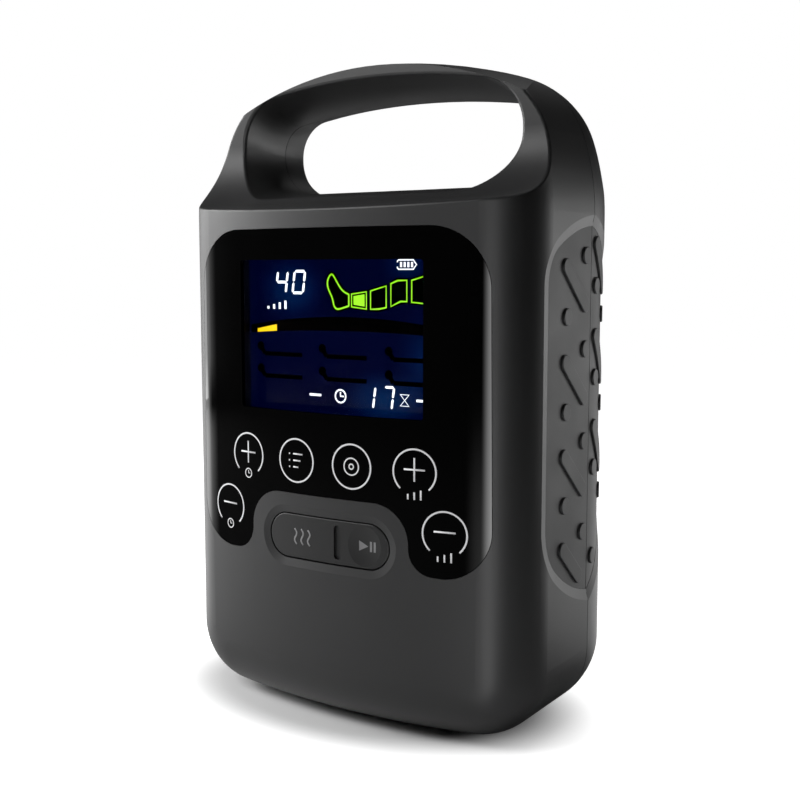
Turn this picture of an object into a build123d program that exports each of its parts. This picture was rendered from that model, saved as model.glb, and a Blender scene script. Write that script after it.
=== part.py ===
from build123d import *
from functools import lru_cache
import math
import os

# Compression therapy pump, millimetres. X is to the right, Y to the back, Z up. The origin is under
# the middle of the housing, on the surface that the rubber feet rest on.

# Housing outline, seen from the front
WIDTH = 151.0
BASE_Z = 1.2
SIDE_TOP_Z = 186.5
BASE_CORNER_R, REAR_CORNER_R = 26.0, 2.0
SHOULDER_R, SHOULDER_TURN = 83.0, 19.4
CORNER_R, CORNER_TURN = 36.0, 52.0
CROWN_TURN = 90.0 - SHOULDER_TURN - CORNER_TURN

# Housing depth
FRONT_Y, SEAM_Y, REAR_Y = -48.5, 13.5, 48.5
BULGE_R = 245.0
FRONT_EDGE_R = 22.0
REAR_INSET = 28.0
WALL = 2.6
SEAM_GAP, SEAM_GROOVE = 0.3, 0.7
PAD_GAP = 0.1

# Carrying handle
HANDLE_FRONT_Y, HANDLE_REAR_Y = -16.5, 26.0
LEDGE_Z, LEDGE_SLOPE, LEDGE_COVE_R = 188.2, 12.0, 25.0
REAR_LEDGE_Z, REAR_COVE_R = 190.0, 14.0
CROWN_SECTION_R, CROWN_TOP_Y = 214.0, 20.0
OUTER_EDGE_R, OPENING_EDGE_R = 1.0, 1.2
# Finger opening stations: depth, half width, floor, floor corner, top corner, top
OPENING_STATIONS = (
    (-32.5, 59.3, 193.3, 18.0, 20.0, 240.0),
    (HANDLE_FRONT_Y, 61.2, 194.5, 18.0, 18.0, 237.0),
    (SEAM_Y, 65.0, 197.0, 16.5, 12.0, 230.5),
    (HANDLE_REAR_Y, 64.5, 196.0, 17.0, 15.0, 233.0),
    (47.0, 62.5, 195.5, 17.0, 17.0, 237.0),
)
OPENING_CROWN_TURN = 9.5

# Control panel and display
PANEL_T, PANEL_GAP, BACKING_IN = 2.0, 0.2, 4.6
PANEL_TOP_Z, PANEL_BOTTOM_Z, ARCH_TOP_Z = 181.3, 61.9, 86.0
WINDOW_HALF, WINDOW_LOW_Z, WINDOW_HIGH_Z = 40.0, 115.85, 170.3
KEY_R = 8.25
KEYS = ((-36.93, 98.0), (-12.25, 98.0), (12.25, 98.0), (36.93, 98.0), (-47.9, 77.2), (47.9, 77.2))

# Rocker button
PILL_W, PILL_H, PILL_X, PILL_Z = 52.5, 16.2, 0.5, 69.8
PILL_GAP, PILL_SINK = 0.45, 0.8
HALO_W, HALO_DEPTH = 2.8, 0.85
CAP_T, PIVOT_Y, HUB_R = 2.2, -43.4, 2.4
GROOVE_X, DISH_X, DISH_R, DISH_DEPTH = 5.5, 19.6, 40.0, 1.35

# Side grips, seen from the side
GRIP_FRONT_Y, GRIP_REAR_Y = -21.1, 35.0
GRIP_LOW_Z, GRIP_HIGH_Z = 77.7, 161.3
GRIP_BOTTOM_Z, GRIP_TOP_Z = 49.2, 182.4
GRIP_LOW_R, GRIP_HIGH_R = 21.0, 15.0
GRIP_FRONT_TURNS, GRIP_REAR_TURNS = (52.0, 62.0), (38.0, 45.0)
GRIP_SINK, GRIP_T, GRIP_RIM = 1.0, 2.0, 3.8
GRIP_RELIEF, GRIP_ROOT, GRIP_SOFT_R = 0.8, 0.5, 0.4
GRIP_PITCH = 33.3
RIB_R, DOT_R = 2.9, 3.1

# Screws that join the two shells
CASE_SCREWS = tuple((side * 65.0, z) for side in (-1, 1) for z in (42.0, 110.0, 176.0))
POST_R, PILOT_R, SHANK_R, HEAD_R = 4.0, 1.5, 1.45, 2.8
SCREW_SEAT_Y = 22.0

FEET = ((-35.0, -13.0), (35.0, -13.0), (-32.0, 24.0), (32.0, 24.0))
FOOT_R, FOOT_H = 6.0, 4.8

# Inside: battery, pump and valves
TRAY_LOW_Z, COVER_Z, DECK_Z = 8.0, 29.0, 37.0
CELL_R, CELL_L, CELL_PITCH = 9.2, 65.0, 19.0
TRAY_FRONT_Y, TRAY_REAR_Y, TRAY_HALF = -33.5, 27.5, 36.0
TRAY_WALL, LUG_T, COVER_T, DECK_T = 1.6, 2.0, 1.6, 1.5
SHAFT_Y, SHAFT_Z, SHAFT_R = 2.0, 57.5, 1.5
MOTOR_R, MOTOR_X0, MOTOR_X1, BEARING_R = 18.0, -58.0, -16.0, 4.0
CRANK_THROW = 1.5
MANIFOLD_Y0, MANIFOLD_Y1, MANIFOLD_Z0, MANIFOLD_Z1 = 20.0, 36.0, 95.0, 111.0
PORT_XS = (-27.0, -9.0, 9.0, 27.0)
PORT_Z = 103.0
PLUNGER_R, VALVE_STROKE, VALVE_Y = 3.0, 1.2, MANIFOLD_Y0 + 8.0
COIL_BORE_Z = MANIFOLD_Z1 + 21.0
NIPPLE_R, NIPPLE_BORE_R = 2.6, 1.4
BOARD_Y, BOARD_T = -25.0, 1.6
JACK_X, JACK_Z, JACK_R, JACK_PIN_R = 38.0, 44.0, 3.1, 1.0
JACK_FLOOR_Y = REAR_Y - 10.5
MANIFOLD_X1, PORT_HALF = 44.0, 36.0
HEAD_Z, PUMP_X, PUMP_XS, PUMP_HALF = 78.5, 6.0, (MOTOR_X1 + 1.5, 34.0), 19.0
AIR_LINE, SPIGOT_R = (SHAFT_Y, HEAD_Z + 11.0), 2.2
CRANK_X0, CRANK_X1, CRANK_R = 2.0, 10.0, 5.0

# Inside: boards, rocker supports and small fasteners
LCD_Y, LCD_T, LIGHT_T, LCD_MIDDLE_Z = -38.0, 1.8, 3.2, 143.0
TOUCH_Y = -37.0
CRADLE_Y, CRADLE_T, CRADLE_XS = -38.5, 2.0, (-33.0, 34.0)
DOME_X, DOME_TOP_Y, DOME_GAP = 17.0, -41.0, 0.9
PIN_R, EAR_R = 1.0, 1.8
BOARD_SCREWS = tuple((side * 55.0, z) for side in (-1, 1) for z in (103.0, 177.0))
TRAY_FEET = tuple((side * 41.0, y) for side in (-1, 1) for y in (-10.0, 6.0))
SMALL_HOLE_R, SMALL_SHANK_R, SMALL_HEAD_R, SMALL_HEAD_T = 1.15, 1.1, 2.4, 1.6
RUN_FIT = 0.03

# Back: vents and rating label
VENT_ROWS, VENT_Z, VENT_PITCH, VENT_W, VENT_H = 5, 150.0, 6.5, 56.0, 2.4
LABEL_X, LABEL_Z, LABEL_T = (-30.0, 18.0), (58.0, 86.0), 0.4


# ---- plain shapes -------------------------------------------------------------------------------

def block(x, y, z):
    """Box between pairs of limits."""
    size = [b - a for a, b in (x, y, z)]
    centre = [(a + b) / 2 for a, b in (x, y, z)]
    return Pos(*centre) * Box(*size)


def rod(axis, radius, start, end, at):
    """Cylinder along an axis from start to end; at holds the other two coordinates, in order."""
    middle = (start + end) / 2
    turn = {"X": Rot(0, 90, 0), "Y": Rot(90, 0, 0), "Z": Rot(0, 0, 0)}[axis]
    place = {"X": (middle, *at), "Y": (at[0], middle, at[1]), "Z": (*at, middle)}[axis]
    return Pos(*place) * turn * Cylinder(radius, abs(end - start))


def tube(axis, outer, inner, start, end, at):
    return rod(axis, outer, start, end, at) - rod(axis, inner, start - 1, end + 1, at)


def group(solids):
    """Several separate solids that share one node."""
    return Compound(children=[s for piece in solids for s in piece.solids()])


def front_plane(y):
    """Plane seen from the front: sketch X is X, sketch Y is Z."""
    return Plane((0, y, 0), x_dir=(1, 0, 0), z_dir=(0, -1, 0))


def side_plane(x):
    """Plane seen from the right: sketch X is Y, sketch Y is Z."""
    return Plane((x, 0, 0), x_dir=(0, 1, 0), z_dir=(1, 0, 0))


def front_prism(face, y0, y1):
    return extrude(front_plane(y1) * face, y1 - y0)


def side_prism(face, x0, x1):
    return extrude(side_plane(x0) * face, x1 - x0)


def grown(face, amount):
    return offset(face, amount, kind=Kind.ARC) if amount else face


def limits(edge):
    box = edge.bounding_box()
    return box.min, box.max


# ---- housing volume -----------------------------------------------------------------------------

def crown_r():
    """Radius of the top arc, which ends on the corner arc with the same slope."""
    drawn_in = (SHOULDER_R - CORNER_R) * (1 - math.cos(math.radians(SHOULDER_TURN)))
    corner_x = WIDTH / 2 - drawn_in - CORNER_R
    return corner_x / math.sin(math.radians(CROWN_TURN)) + CORNER_R


def outline_face(inset, y):
    """Front outline of the housing, moved inwards by inset."""
    half = WIDTH / 2 - inset
    corner = max(BASE_CORNER_R - inset, REAR_CORNER_R)
    base = Line((0, BASE_Z + inset), (half - corner, BASE_Z + inset))
    foot = JernArc(base @ 1, (1, 0), corner, 90)
    side = Line(foot @ 1, (half, SIDE_TOP_Z))
    shoulder = JernArc(side @ 1, (0, 1), SHOULDER_R - inset, SHOULDER_TURN)
    turn = JernArc(shoulder @ 1, shoulder % 1, CORNER_R - inset, CORNER_TURN)
    crown = JernArc(turn @ 1, turn % 1, crown_r() - inset, CROWN_TURN)
    right = Curve() + [base, foot, side, shoulder, turn, crown]
    return front_plane(y) * make_face(right + mirror(right, Plane.YZ))


def top_z():
    return outline_face(0, 0).bounding_box().max.Z


def front_volume(inset):
    """Front half: bulged face, rolled edges and a crowned top."""
    slab = extrude(outline_face(inset, SEAM_Y), SEAM_Y - FRONT_Y + 10)
    slab &= Pos(0, FRONT_Y + BULGE_R, 120) * Cylinder(BULGE_R - inset, 300)
    face = slab.faces().filter_by(GeomType.CYLINDER).sort_by(Axis.Y)[0]
    return fillet(face.edges(), FRONT_EDGE_R - inset) & crown_barrel(inset)


def crown_barrel(inset):
    """Barrel that crowns the top of the handle from front to seam."""
    top, radius = top_z(), CROWN_SECTION_R - inset
    centre_z, axis_z = top - CROWN_SECTION_R, top - crown_r()
    front_y = FRONT_Y - 11.5

    def height(y):
        return centre_z + math.sqrt(radius ** 2 - (y - CROWN_TOP_Y) ** 2)

    arc = ThreePointArc(*[(y, height(y)) for y in (front_y, FRONT_Y / 2, SEAM_Y)])
    rest = Polyline(arc @ 1, (SEAM_Y, axis_z), (front_y, axis_z), arc @ 0)
    return revolve(side_plane(0) * make_face(Curve() + [arc, rest]), Axis((0, 0, axis_z), (0, 1, 0)), 360)


def rear_volume(inset):
    """Rear half: outlines that shrink along a quarter ellipse towards the back."""
    sections = []
    for step in range(7):
        angle = math.radians(15 * step)
        depth = SEAM_Y + (REAR_Y - SEAM_Y - inset) * math.sin(angle)
        sections.append(outline_face(REAR_INSET - (REAR_INSET - inset) * math.cos(angle), depth))
    return loft(sections)


def ledge_cut(inset):
    """What the sloping ledge and the cove in front of the handle take away."""
    far, high = -80.0, 270.0
    radius = LEDGE_COVE_R + inset
    slope = math.radians(LEDGE_SLOPE)
    start_y = HANDLE_FRONT_Y - LEDGE_COVE_R * (1 - math.sin(slope)) + inset * math.sin(slope)
    start_z = LEDGE_Z + math.tan(slope) * (start_y - FRONT_Y) - inset / math.cos(slope)
    run = Line((far, start_z - math.tan(slope) * (start_y - far)), (start_y, start_z))
    cove = JernArc(run @ 1, run % 1, radius, 90 - LEDGE_SLOPE)
    rest = Polyline(cove @ 1, ((cove @ 1).X, high), (far, high), run @ 0)
    return extrude(side_plane(0) * make_face(Curve() + [run, cove, rest]), 100, both=True)


def rear_ledge_cut(inset):
    """The same behind the handle, with a level ledge."""
    far, high = 80.0, 270.0
    level = REAR_LEDGE_Z - inset
    run = Line((far, level), (HANDLE_REAR_Y + REAR_COVE_R, level))
    cove = JernArc(run @ 1, (-1, 0), REAR_COVE_R + inset, -90)
    rest = Polyline(cove @ 1, ((cove @ 1).X, high), (far, high), run @ 0)
    return extrude(side_plane(0) * make_face(Curve() + [run, cove, rest]), 100, both=True)


def opening_face(station, grow):
    """One section of the finger opening, grown outwards by grow."""
    y, half, floor, low_r, high_r, top = station
    turn = math.radians(OPENING_CROWN_TURN)
    arc_x = half - high_r * (1 - math.sin(turn))
    arc_r = arc_x / math.sin(turn)
    corner_z = top - arc_r * (1 - math.cos(turn)) - high_r * math.cos(turn)
    base = Line((0, floor - grow), (half - low_r, floor - grow))
    low = JernArc(base @ 1, (1, 0), low_r + grow, 90)
    side = Line(low @ 1, (half + grow, corner_z))
    high = JernArc(side @ 1, (0, 1), high_r + grow, 90 - OPENING_CROWN_TURN)
    crown = JernArc(high @ 1, high % 1, arc_r + grow, OPENING_CROWN_TURN)
    right = Curve() + [base, low, side, high, crown]
    return front_plane(y) * make_face(right + mirror(right, Plane.YZ))


@lru_cache(maxsize=None)
def housing(half, inset=0.0):
    """Front or rear half of the housing as a solid, with its outer surface moved inwards by inset."""
    body = front_volume(inset) if half == "front" else rear_volume(inset)
    opening = loft([opening_face(station, inset) for station in OPENING_STATIONS])
    return body - ledge_cut(inset) - rear_ledge_cut(inset) - opening


def layer(half, solid, top, bottom):
    """The part of a solid between two depths below the housing surface."""
    return (solid & housing(half, top)) - housing(half, bottom)


# ---- outlines of what is let into the housing ---------------------------------------------------

@lru_cache(maxsize=None)
def panel_face():
    """Control panel outline: rounded top corners and two lobes beside an arch."""
    top = Line((0, PANEL_TOP_Z), (42, PANEL_TOP_Z))
    corner = JernArc(top @ 1, (1, 0), 21, -90)
    side = Line(corner @ 1, (63.8, 78.9))
    outer = JernArc(side @ 1, side % 1, 17, -91)
    tip = Line(outer @ 1, (43.8, PANEL_BOTTOM_Z))
    inner = JernArc(tip @ 1, (-1, 0), 9, -90)
    flank = Line(inner @ 1, (34.8, ARCH_TOP_Z - 14.0))
    arch = JernArc(flank @ 1, (0, 1), 14, 90)
    roof = Line(arch @ 1, (0, ARCH_TOP_Z))
    right = Curve() + [top, corner, side, outer, tip, inner, flank, arch, roof]
    return make_face(right + mirror(right, Plane.YZ))


def window_face(grow=0.0):
    width, height = 2 * (WINDOW_HALF + grow), WINDOW_HIGH_Z - WINDOW_LOW_Z + 2 * grow
    return Pos(0, (WINDOW_LOW_Z + WINDOW_HIGH_Z) / 2) * RectangleRounded(width, height, 1.2)


def pill_face(grow=0.0):
    return Pos(PILL_X, PILL_Z) * SlotOverall(PILL_W + 2 * grow, PILL_H + 2 * grow)


def grip_side(edge_y, turns):
    """One half of the grip outline; turns are how far its low and high corners turn, in degrees."""
    way = 1 if edge_y > SEAM_Y else -1
    side = Line((edge_y, GRIP_LOW_Z), (edge_y, GRIP_HIGH_Z))
    low = JernArc(side @ 0, (0, -1), GRIP_LOW_R, -way * turns[0])
    keel = TangentArc(low @ 1, (SEAM_Y, GRIP_BOTTOM_Z), tangent=low % 1)
    high = JernArc(side @ 1, (0, 1), GRIP_HIGH_R, way * turns[1])
    roof = TangentArc(high @ 1, (SEAM_Y, GRIP_TOP_Z), tangent=high % 1)
    return [side, low, keel, high, roof]


@lru_cache(maxsize=None)
def grip_face():
    front = grip_side(GRIP_FRONT_Y, GRIP_FRONT_TURNS)
    return make_face(Curve() + front + grip_side(GRIP_REAR_Y, GRIP_REAR_TURNS))


def grip_relief_faces():
    """Slanted ribs and round dots on both halves of a grip, in four rows; the last row is shorter."""
    faces = []
    for row in range(4):
        drop = row * GRIP_PITCH
        rib_end = (8.0, 154.4 - drop) if row < 3 else (5.6, 156.2 - drop)
        dots = [(8.7, 171.8), (18.3, 161.0)]
        faces.append(slot_between((-7.6, 167.8 - drop), rib_end))
        if row < 3:
            faces.append(slot_between((18.2, 176.0 - drop), (27.5, 160.5 - drop)))
            dots += [(-6.5, 150.4), (29.5, 150.4)]
        faces += [Pos(y, z - drop) * Circle(DOT_R) for y, z in dots]
    return faces


def slot_between(start, end):
    centre = [(a + b) / 2 for a, b in zip(start, end)]
    run = [b - a for a, b in zip(start, end)]
    angle = math.degrees(math.atan2(run[1], run[0]))
    return Pos(*centre) * Rot(0, 0, angle) * SlotCenterToCenter(math.hypot(*run), 2 * RIB_R)


# ---- shells -------------------------------------------------------------------------------------

def edges_where(body, test):
    """Edges whose lowest and highest corner pass a test, without those on the parting plane."""
    chosen = []
    for edge in body.edges():
        box = edge.bounding_box()
        at_seam = abs(box.min.Y - SEAM_Y) < 0.01 and abs(box.max.Y - SEAM_Y) < 0.01
        if not at_seam and test(box.min, box.max):
            chosen.append(edge)
    return chosen


def rounded_front():
    """Front half with a small radius round the handle face and the finger opening."""
    def opening(low, high):
        level = high.Z - low.Z < 0.01 and low.Z > 200
        beside = max(abs(low.X), abs(high.X)) < 61.5
        around = 194.4 < low.Z and high.Z < 239.5 and beside
        return around and high.Y < HANDLE_FRONT_Y + 0.1 and not level

    def crest(low, high):
        return low.Y < FRONT_Y + 0.1 and low.Z > LEDGE_Z - 0.1 and high.Z < LEDGE_Z + 4

    body = housing("front")
    body = fillet(edges_where(body, opening), OPENING_EDGE_R)
    return fillet(edges_where(body, crest), OUTER_EDGE_R)


def rounded_rear():
    """Rear half with a small radius round the rear edge of the handle and the finger opening."""
    def opening(low, high):
        level = high.Z - low.Z < 0.01 and low.Z > 200
        beside = max(abs(low.X), abs(high.X)) < 64.7
        around = 194.4 < low.Z and high.Z < 239.5 and beside
        return around and low.Y > HANDLE_REAR_Y - 0.1 and not level

    def top(low, high):
        return abs(high.Y - HANDLE_REAR_Y) < 0.01 and high.Z > 239.5

    body = housing("rear")
    body = fillet(edges_where(body, opening), OPENING_EDGE_R)
    return fillet(edges_where(body, top), OUTER_EDGE_R)


def sink_rocker(body):
    """Hole for the rocker with a shallow dished rim."""
    body -= front_prism(pill_face(PILL_GAP), FRONT_Y - 5, FRONT_Y + 4)

    def rim(low, high):
        inside = low.Z > PILL_Z - 10 and high.Z < PILL_Z + 10 and max(abs(low.X), abs(high.X)) < 30
        return inside and high.Y < FRONT_Y + 2.5

    return chamfer(edges_where(body, rim), HALO_W, HALO_DEPTH)


def sink_grips(half, body):
    """Pockets for both grip pads of one half, with a wide bevelled rim."""
    reach = (FRONT_Y, SEAM_Y) if half == "front" else (SEAM_Y, REAR_Y)
    floor = housing(half, GRIP_SINK)

    def upper(edge):
        middle = edge.position_at(0.5)
        return floor.distance_to(Vertex(middle.X, middle.Y, middle.Z)) > GRIP_SINK * 0.7

    def border(low, high):
        beside = min(abs(low.X), abs(high.X)) > 60 and low.X * high.X > 0
        return beside and GRIP_BOTTOM_Z - 1 < low.Z and high.Z < GRIP_TOP_Z + 1 and high.Y < GRIP_REAR_Y + 1

    pocket = side_prism(grip_face(), 55, 80) & block((50, 90), reach, (0, 250))
    pocket -= floor
    body = body - pocket - mirror(pocket, Plane.YZ)
    rim = [edge for edge in edges_where(body, border) if upper(edge)]
    return chamfer(rim, GRIP_RIM, GRIP_SINK - 0.1)


def grip_backing(half):
    """Thicker wall behind the grip pads of one half, and the seats cut into it."""
    reach = (FRONT_Y, SEAM_Y) if half == "front" else (SEAM_Y, REAR_Y)
    room = block((50, 90), reach, (0, 250))
    floor = GRIP_SINK + GRIP_T
    wall = layer(half, side_prism(grown(grip_face(), 2.0), 55, 80) & room, 2.0, floor + 2.0)
    seat = layer(half, side_prism(grown(grip_face(), -PAD_GAP / 2), 55, 80), GRIP_SINK - 0.2, floor)
    return [wall, mirror(wall, Plane.YZ)], [seat, mirror(seat, Plane.YZ)]


def seam_groove(half):
    """Fine groove at the parting line, half of it in each shell."""
    slab = (SEAM_Y - SEAM_GAP / 2, SEAM_Y) if half == "front" else (SEAM_Y, SEAM_Y + SEAM_GAP / 2)
    return block((-80, 80), slab, (0, 250)) - housing(half, SEAM_GROOVE)


def post(half, x, z, radius, start, end):
    """Boss along Y that ends inside the wall of its shell."""
    return rod("Y", radius, start, end, (x, z)) & housing(half, 1.2)


def foot_seat(half, x, y):
    """Local thickening over a foot."""
    return rod("Z", FOOT_R + 2, 0, FOOT_H + 3, (x, y)) & housing(half, 0.4)


def front_shell():
    body = sink_grips("front", sink_rocker(rounded_front())) - housing("front", WALL)
    walls, seats = grip_backing("front")
    added = walls + [layer("front", front_prism(grown(panel_face(), 3.5), FRONT_Y - 5, -25), 1.2, BACKING_IN)]
    added += [post("front", x, z, POST_R, FRONT_Y, SEAM_Y) for x, z in CASE_SCREWS]
    added += [post("front", x, z, 3.2, FRONT_Y, BOARD_Y) for x, z in BOARD_SCREWS]
    added += [post("front", x, PILL_Z, 3.2, FRONT_Y, CRADLE_Y) for x in CRADLE_XS]
    added += [rod("Z", 3.5, 0, TRAY_LOW_Z, at) & housing("front", 1.2) for at in TRAY_FEET]
    added += [foot_seat("front", *at) for at in FEET[:2]]
    pocket = front_prism(grown(panel_face(), PANEL_GAP), FRONT_Y - 5, -20) - housing("front", PANEL_T + 0.05)
    cuts = seats + [pocket, front_prism(window_face(3.8), FRONT_Y - 5, -30)]
    cuts += [front_prism(pill_face(PILL_GAP), FRONT_Y - 5, -40)]
    cuts += [rod("Y", 5.5, FRONT_Y, -30, at) for at in KEYS]
    cuts += [rod("Y", PILOT_R, SEAM_Y - 9, SEAM_Y + 1, at) for at in CASE_SCREWS]
    cuts += [rod("Y", SMALL_HOLE_R, BOARD_Y - 6, BOARD_Y + 1, at) for at in BOARD_SCREWS]
    cuts += [rod("Y", SMALL_HOLE_R, CRADLE_Y - 4, CRADLE_Y + 1, (x, PILL_Z)) for x in CRADLE_XS]
    cuts += [rod("Z", SMALL_HOLE_R, TRAY_LOW_Z - 3.5, TRAY_LOW_Z + 1, at) for at in TRAY_FEET]
    cuts += [rod("Z", FOOT_R, -1, FOOT_H, at) for at in FEET[:2]]
    return body + added - cuts - seam_groove("front")


def rear_shell():
    body = sink_grips("rear", rounded_rear()) - housing("rear", WALL)
    walls, seats = grip_backing("rear")
    added = walls + [post("rear", x, z, HEAD_R + 2.0, SEAM_Y, REAR_Y) for x, z in CASE_SCREWS]
    added += [foot_seat("rear", *at) for at in FEET[2:]]
    added += [block((-PORT_HALF - 2, PORT_HALF + 2), (MANIFOLD_Y1 + 2, REAR_Y - 0.5),
                    (MANIFOLD_Z0 - 2, MANIFOLD_Z1 + 2))]
    cuts = seats + [block((-PORT_HALF, PORT_HALF), (MANIFOLD_Y1, REAR_Y + 1), (MANIFOLD_Z0, MANIFOLD_Z1))]
    cuts += [rod("Y", JACK_R + 1.0, REAR_Y - 5, REAR_Y + 1, (JACK_X, JACK_Z))]
    vent = SlotOverall(VENT_W, VENT_H)
    cuts += [front_prism(Pos(0, VENT_Z + row * VENT_PITCH) * vent, REAR_Y - 6, REAR_Y + 1)
             for row in range(VENT_ROWS)]
    cuts += [block(LABEL_X, (REAR_Y - LABEL_T, REAR_Y + 1), LABEL_Z)]
    cuts += [rod("Y", HEAD_R + 0.3, SCREW_SEAT_Y, REAR_Y + 1, at) for at in CASE_SCREWS]
    cuts += [rod("Y", PILOT_R + 0.2, SEAM_Y - 1, REAR_Y, at) for at in CASE_SCREWS]
    cuts += [rod("Z", FOOT_R, -1, FOOT_H, at) for at in FEET[2:]]
    return body + added - cuts - seam_groove("rear")


def softened(raised):
    """Rib or dot with a small radius round its top; the largest two faces are its top and root."""
    top = max(raised.faces().sort_by(SortBy.AREA)[-2:], key=lambda face: face.center().X)
    return fillet(top.edges(), GRIP_SOFT_R)


def grip_pads():
    """Soft pads let into both shells, with raised ribs and dots."""
    pads = {}
    for half in ("front", "rear"):
        reach = (FRONT_Y, SEAM_Y - SEAM_GAP / 2) if half == "front" else (SEAM_Y + SEAM_GAP / 2, REAR_Y)
        room = block((50, 90), reach, (0, 250))
        base = side_prism(grown(grip_face(), -PAD_GAP), 55, 80) & room
        raised = [side_prism(face, 55, 80) & room for face in grip_relief_faces()]
        raised = [layer(half, piece, GRIP_SINK - GRIP_RELIEF, GRIP_SINK + GRIP_ROOT)
                  for piece in raised if piece.solids() and piece.volume > 100]
        pad = layer(half, base, GRIP_SINK, GRIP_SINK + GRIP_T) + [softened(piece) for piece in raised]
        pads[f"grip_pad_{half}_right"] = pad
        pads[f"grip_pad_{half}_left"] = mirror(pad, Plane.YZ)
    return pads


# ---- panel, display and keys --------------------------------------------------------------------

def control_panel():
    body = layer("front", front_prism(panel_face(), FRONT_Y - 5, -20), 0.0, PANEL_T)
    return body - front_prism(window_face(), FRONT_Y - 5, -20)


def display_window():
    return layer("front", front_prism(window_face(), FRONT_Y - 5, -20), 0.0, PANEL_T)


def display_bezel():
    """Dark tunnel from the panel back to the display, with a flange behind the shell wall."""
    neck = front_prism(window_face(3.5), FRONT_Y, LCD_Y) & housing("front", PANEL_T + 0.1)
    flange = block((-50, 50), (-42, LCD_Y), (111, 175)) & housing("front", BACKING_IN + 0.05)
    return neck + flange - front_prism(window_face(1.6), FRONT_Y - 5, LCD_Y + 1)


def display_parts():
    """Glass, backlight and board, one behind the other."""
    sizes = {"lcd_glass": (87, 60, LCD_T), "backlight": (89, 62, LIGHT_T), "display_board": (94, 64, BOARD_T)}
    parts, front = {}, LCD_Y
    for name, (width, height, thickness) in sizes.items():
        low = LCD_MIDDLE_Z - height / 2
        parts[name] = block((-width / 2, width / 2), (front, front + thickness), (low, low + height))
        front += thickness
    return parts


def touch_board():
    """Board behind all six keys, with a bay for the rocker."""
    board = block((-51, 51), (TOUCH_Y, TOUCH_Y + 1.2), (66, 108))
    return board - block((-38, 38), (TOUCH_Y - 1, TOUCH_Y + 2), (60, 88))


def touch_springs():
    """Conductive posts from the back of the panel to the touch board, one for each key."""
    return group([rod("Y", 4.0, FRONT_Y, TOUCH_Y, at) & housing("front", PANEL_T + 0.02) for at in KEYS])


def rocker_cap():
    """Pill with soft edges, a groove between its halves and a shallow dish at the right."""
    cap = layer("front", front_prism(pill_face(), FRONT_Y, -30), PILL_SINK, PILL_SINK + CAP_T)
    cap = fillet(edges_where(cap, lambda low, high: high.Y < FRONT_Y + PILL_SINK + 2.0), 0.5)
    groove = Pos(GROOVE_X, PILL_Z) * Rot(0, 0, 90) * SlotOverall(12.5, 3.0)
    dish = Pos(DISH_X, FRONT_Y + PILL_SINK + DISH_DEPTH - DISH_R, PILL_Z) * Sphere(DISH_R)
    return cap - front_prism(groove, FRONT_Y - 1, FRONT_Y + 1.8) - dish


def rocker_button():
    """Cap with a hub round its pin and a plunger over each switch."""
    hub = rod("Z", HUB_R, PILL_Z - 5, PILL_Z + 5, (PILL_X, PIVOT_Y))
    web = block((PILL_X - HUB_R, PILL_X + HUB_R), (PIVOT_Y - 2.2, PIVOT_Y), (PILL_Z - 5, PILL_Z + 5))
    plungers = [rod("Y", 2.0, FRONT_Y + 2.5, DOME_TOP_Y - DOME_GAP, (PILL_X + side * DOME_X, PILL_Z))
                for side in (-1, 1)]
    bore = rod("Z", PIN_R + RUN_FIT, PILL_Z - 6, PILL_Z + 6, (PILL_X, PIVOT_Y))
    return rocker_cap() + [hub, web] + plungers - bore


def rocker_cradle():
    """Plate behind the rocker with two ears that hold its pin."""
    body = block((-37, 38), (CRADLE_Y, CRADLE_Y + CRADLE_T), (PILL_Z - 6.5, PILL_Z + 9.5))
    for low in (PILL_Z - 7.5, PILL_Z + 5.3):
        ear = block((PILL_X - EAR_R, PILL_X + EAR_R), (PIVOT_Y, CRADLE_Y + CRADLE_T), (low, low + 2.2))
        body += ear + rod("Z", EAR_R, low, low + 2.2, (PILL_X, PIVOT_Y))
    body -= rod("Z", PIN_R, PILL_Z - 9, PILL_Z + 9, (PILL_X, PIVOT_Y))
    for x in CRADLE_XS:
        body -= rod("Y", SMALL_HOLE_R, CRADLE_Y - 1, CRADLE_Y + 3, (x, PILL_Z))
    return body


def rocker_parts():
    pin = rod("Z", PIN_R, PILL_Z - 7.5, PILL_Z + 7.5, (PILL_X, PIVOT_Y))
    domes, boards = [], []
    for side in (-1, 1):
        at = (PILL_X + side * DOME_X, PILL_Z)
        domes.append(rod("Y", 2.5, DOME_TOP_Y, CRADLE_Y - 1, at))
        boards.append(block((at[0] - 5, at[0] + 5), (CRADLE_Y - 1, CRADLE_Y), (PILL_Z - 5, PILL_Z + 5)))
    return {"rocker_button": rocker_button(), "rocker_pin": pin, "rocker_cradle": rocker_cradle(),
            "switch_domes": group(domes), "switch_boards": group(boards)}


# ---- main board ---------------------------------------------------------------------------------

def main_board():
    body = block((-60, 60), (BOARD_Y, BOARD_Y + BOARD_T), (98, 182))
    for x, z in BOARD_SCREWS:
        body -= rod("Y", SMALL_HOLE_R + 0.2, BOARD_Y - 1, BOARD_Y + 3, (x, z))
    return body


def board_parts():
    """Main board and what is soldered to its back."""
    face = BOARD_Y + BOARD_T
    chips = [block((x - w / 2, x + w / 2), (face, face + 1.6), (z - h / 2, z + h / 2))
             for x, z, w, h in ((-20, 150, 12, 12), (8, 156, 8, 6), (26, 148, 10, 8), (-42, 128, 7, 5))]
    cans = [rod("Y", 4.0, face, face + 11, (x, 122)) for x in (-10, 2, 14)]
    sockets = [block((x - 6, x + 6), (face, face + 6), (169, 175)) for x in (-36, -12, 12, 36)]
    return {"main_board": main_board(), "board_chips": group(chips), "board_capacitors": group(cans),
            "board_connectors": group(sockets), "buzzer": rod("Y", 6.0, face, face + 8, (42, 128))}


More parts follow.
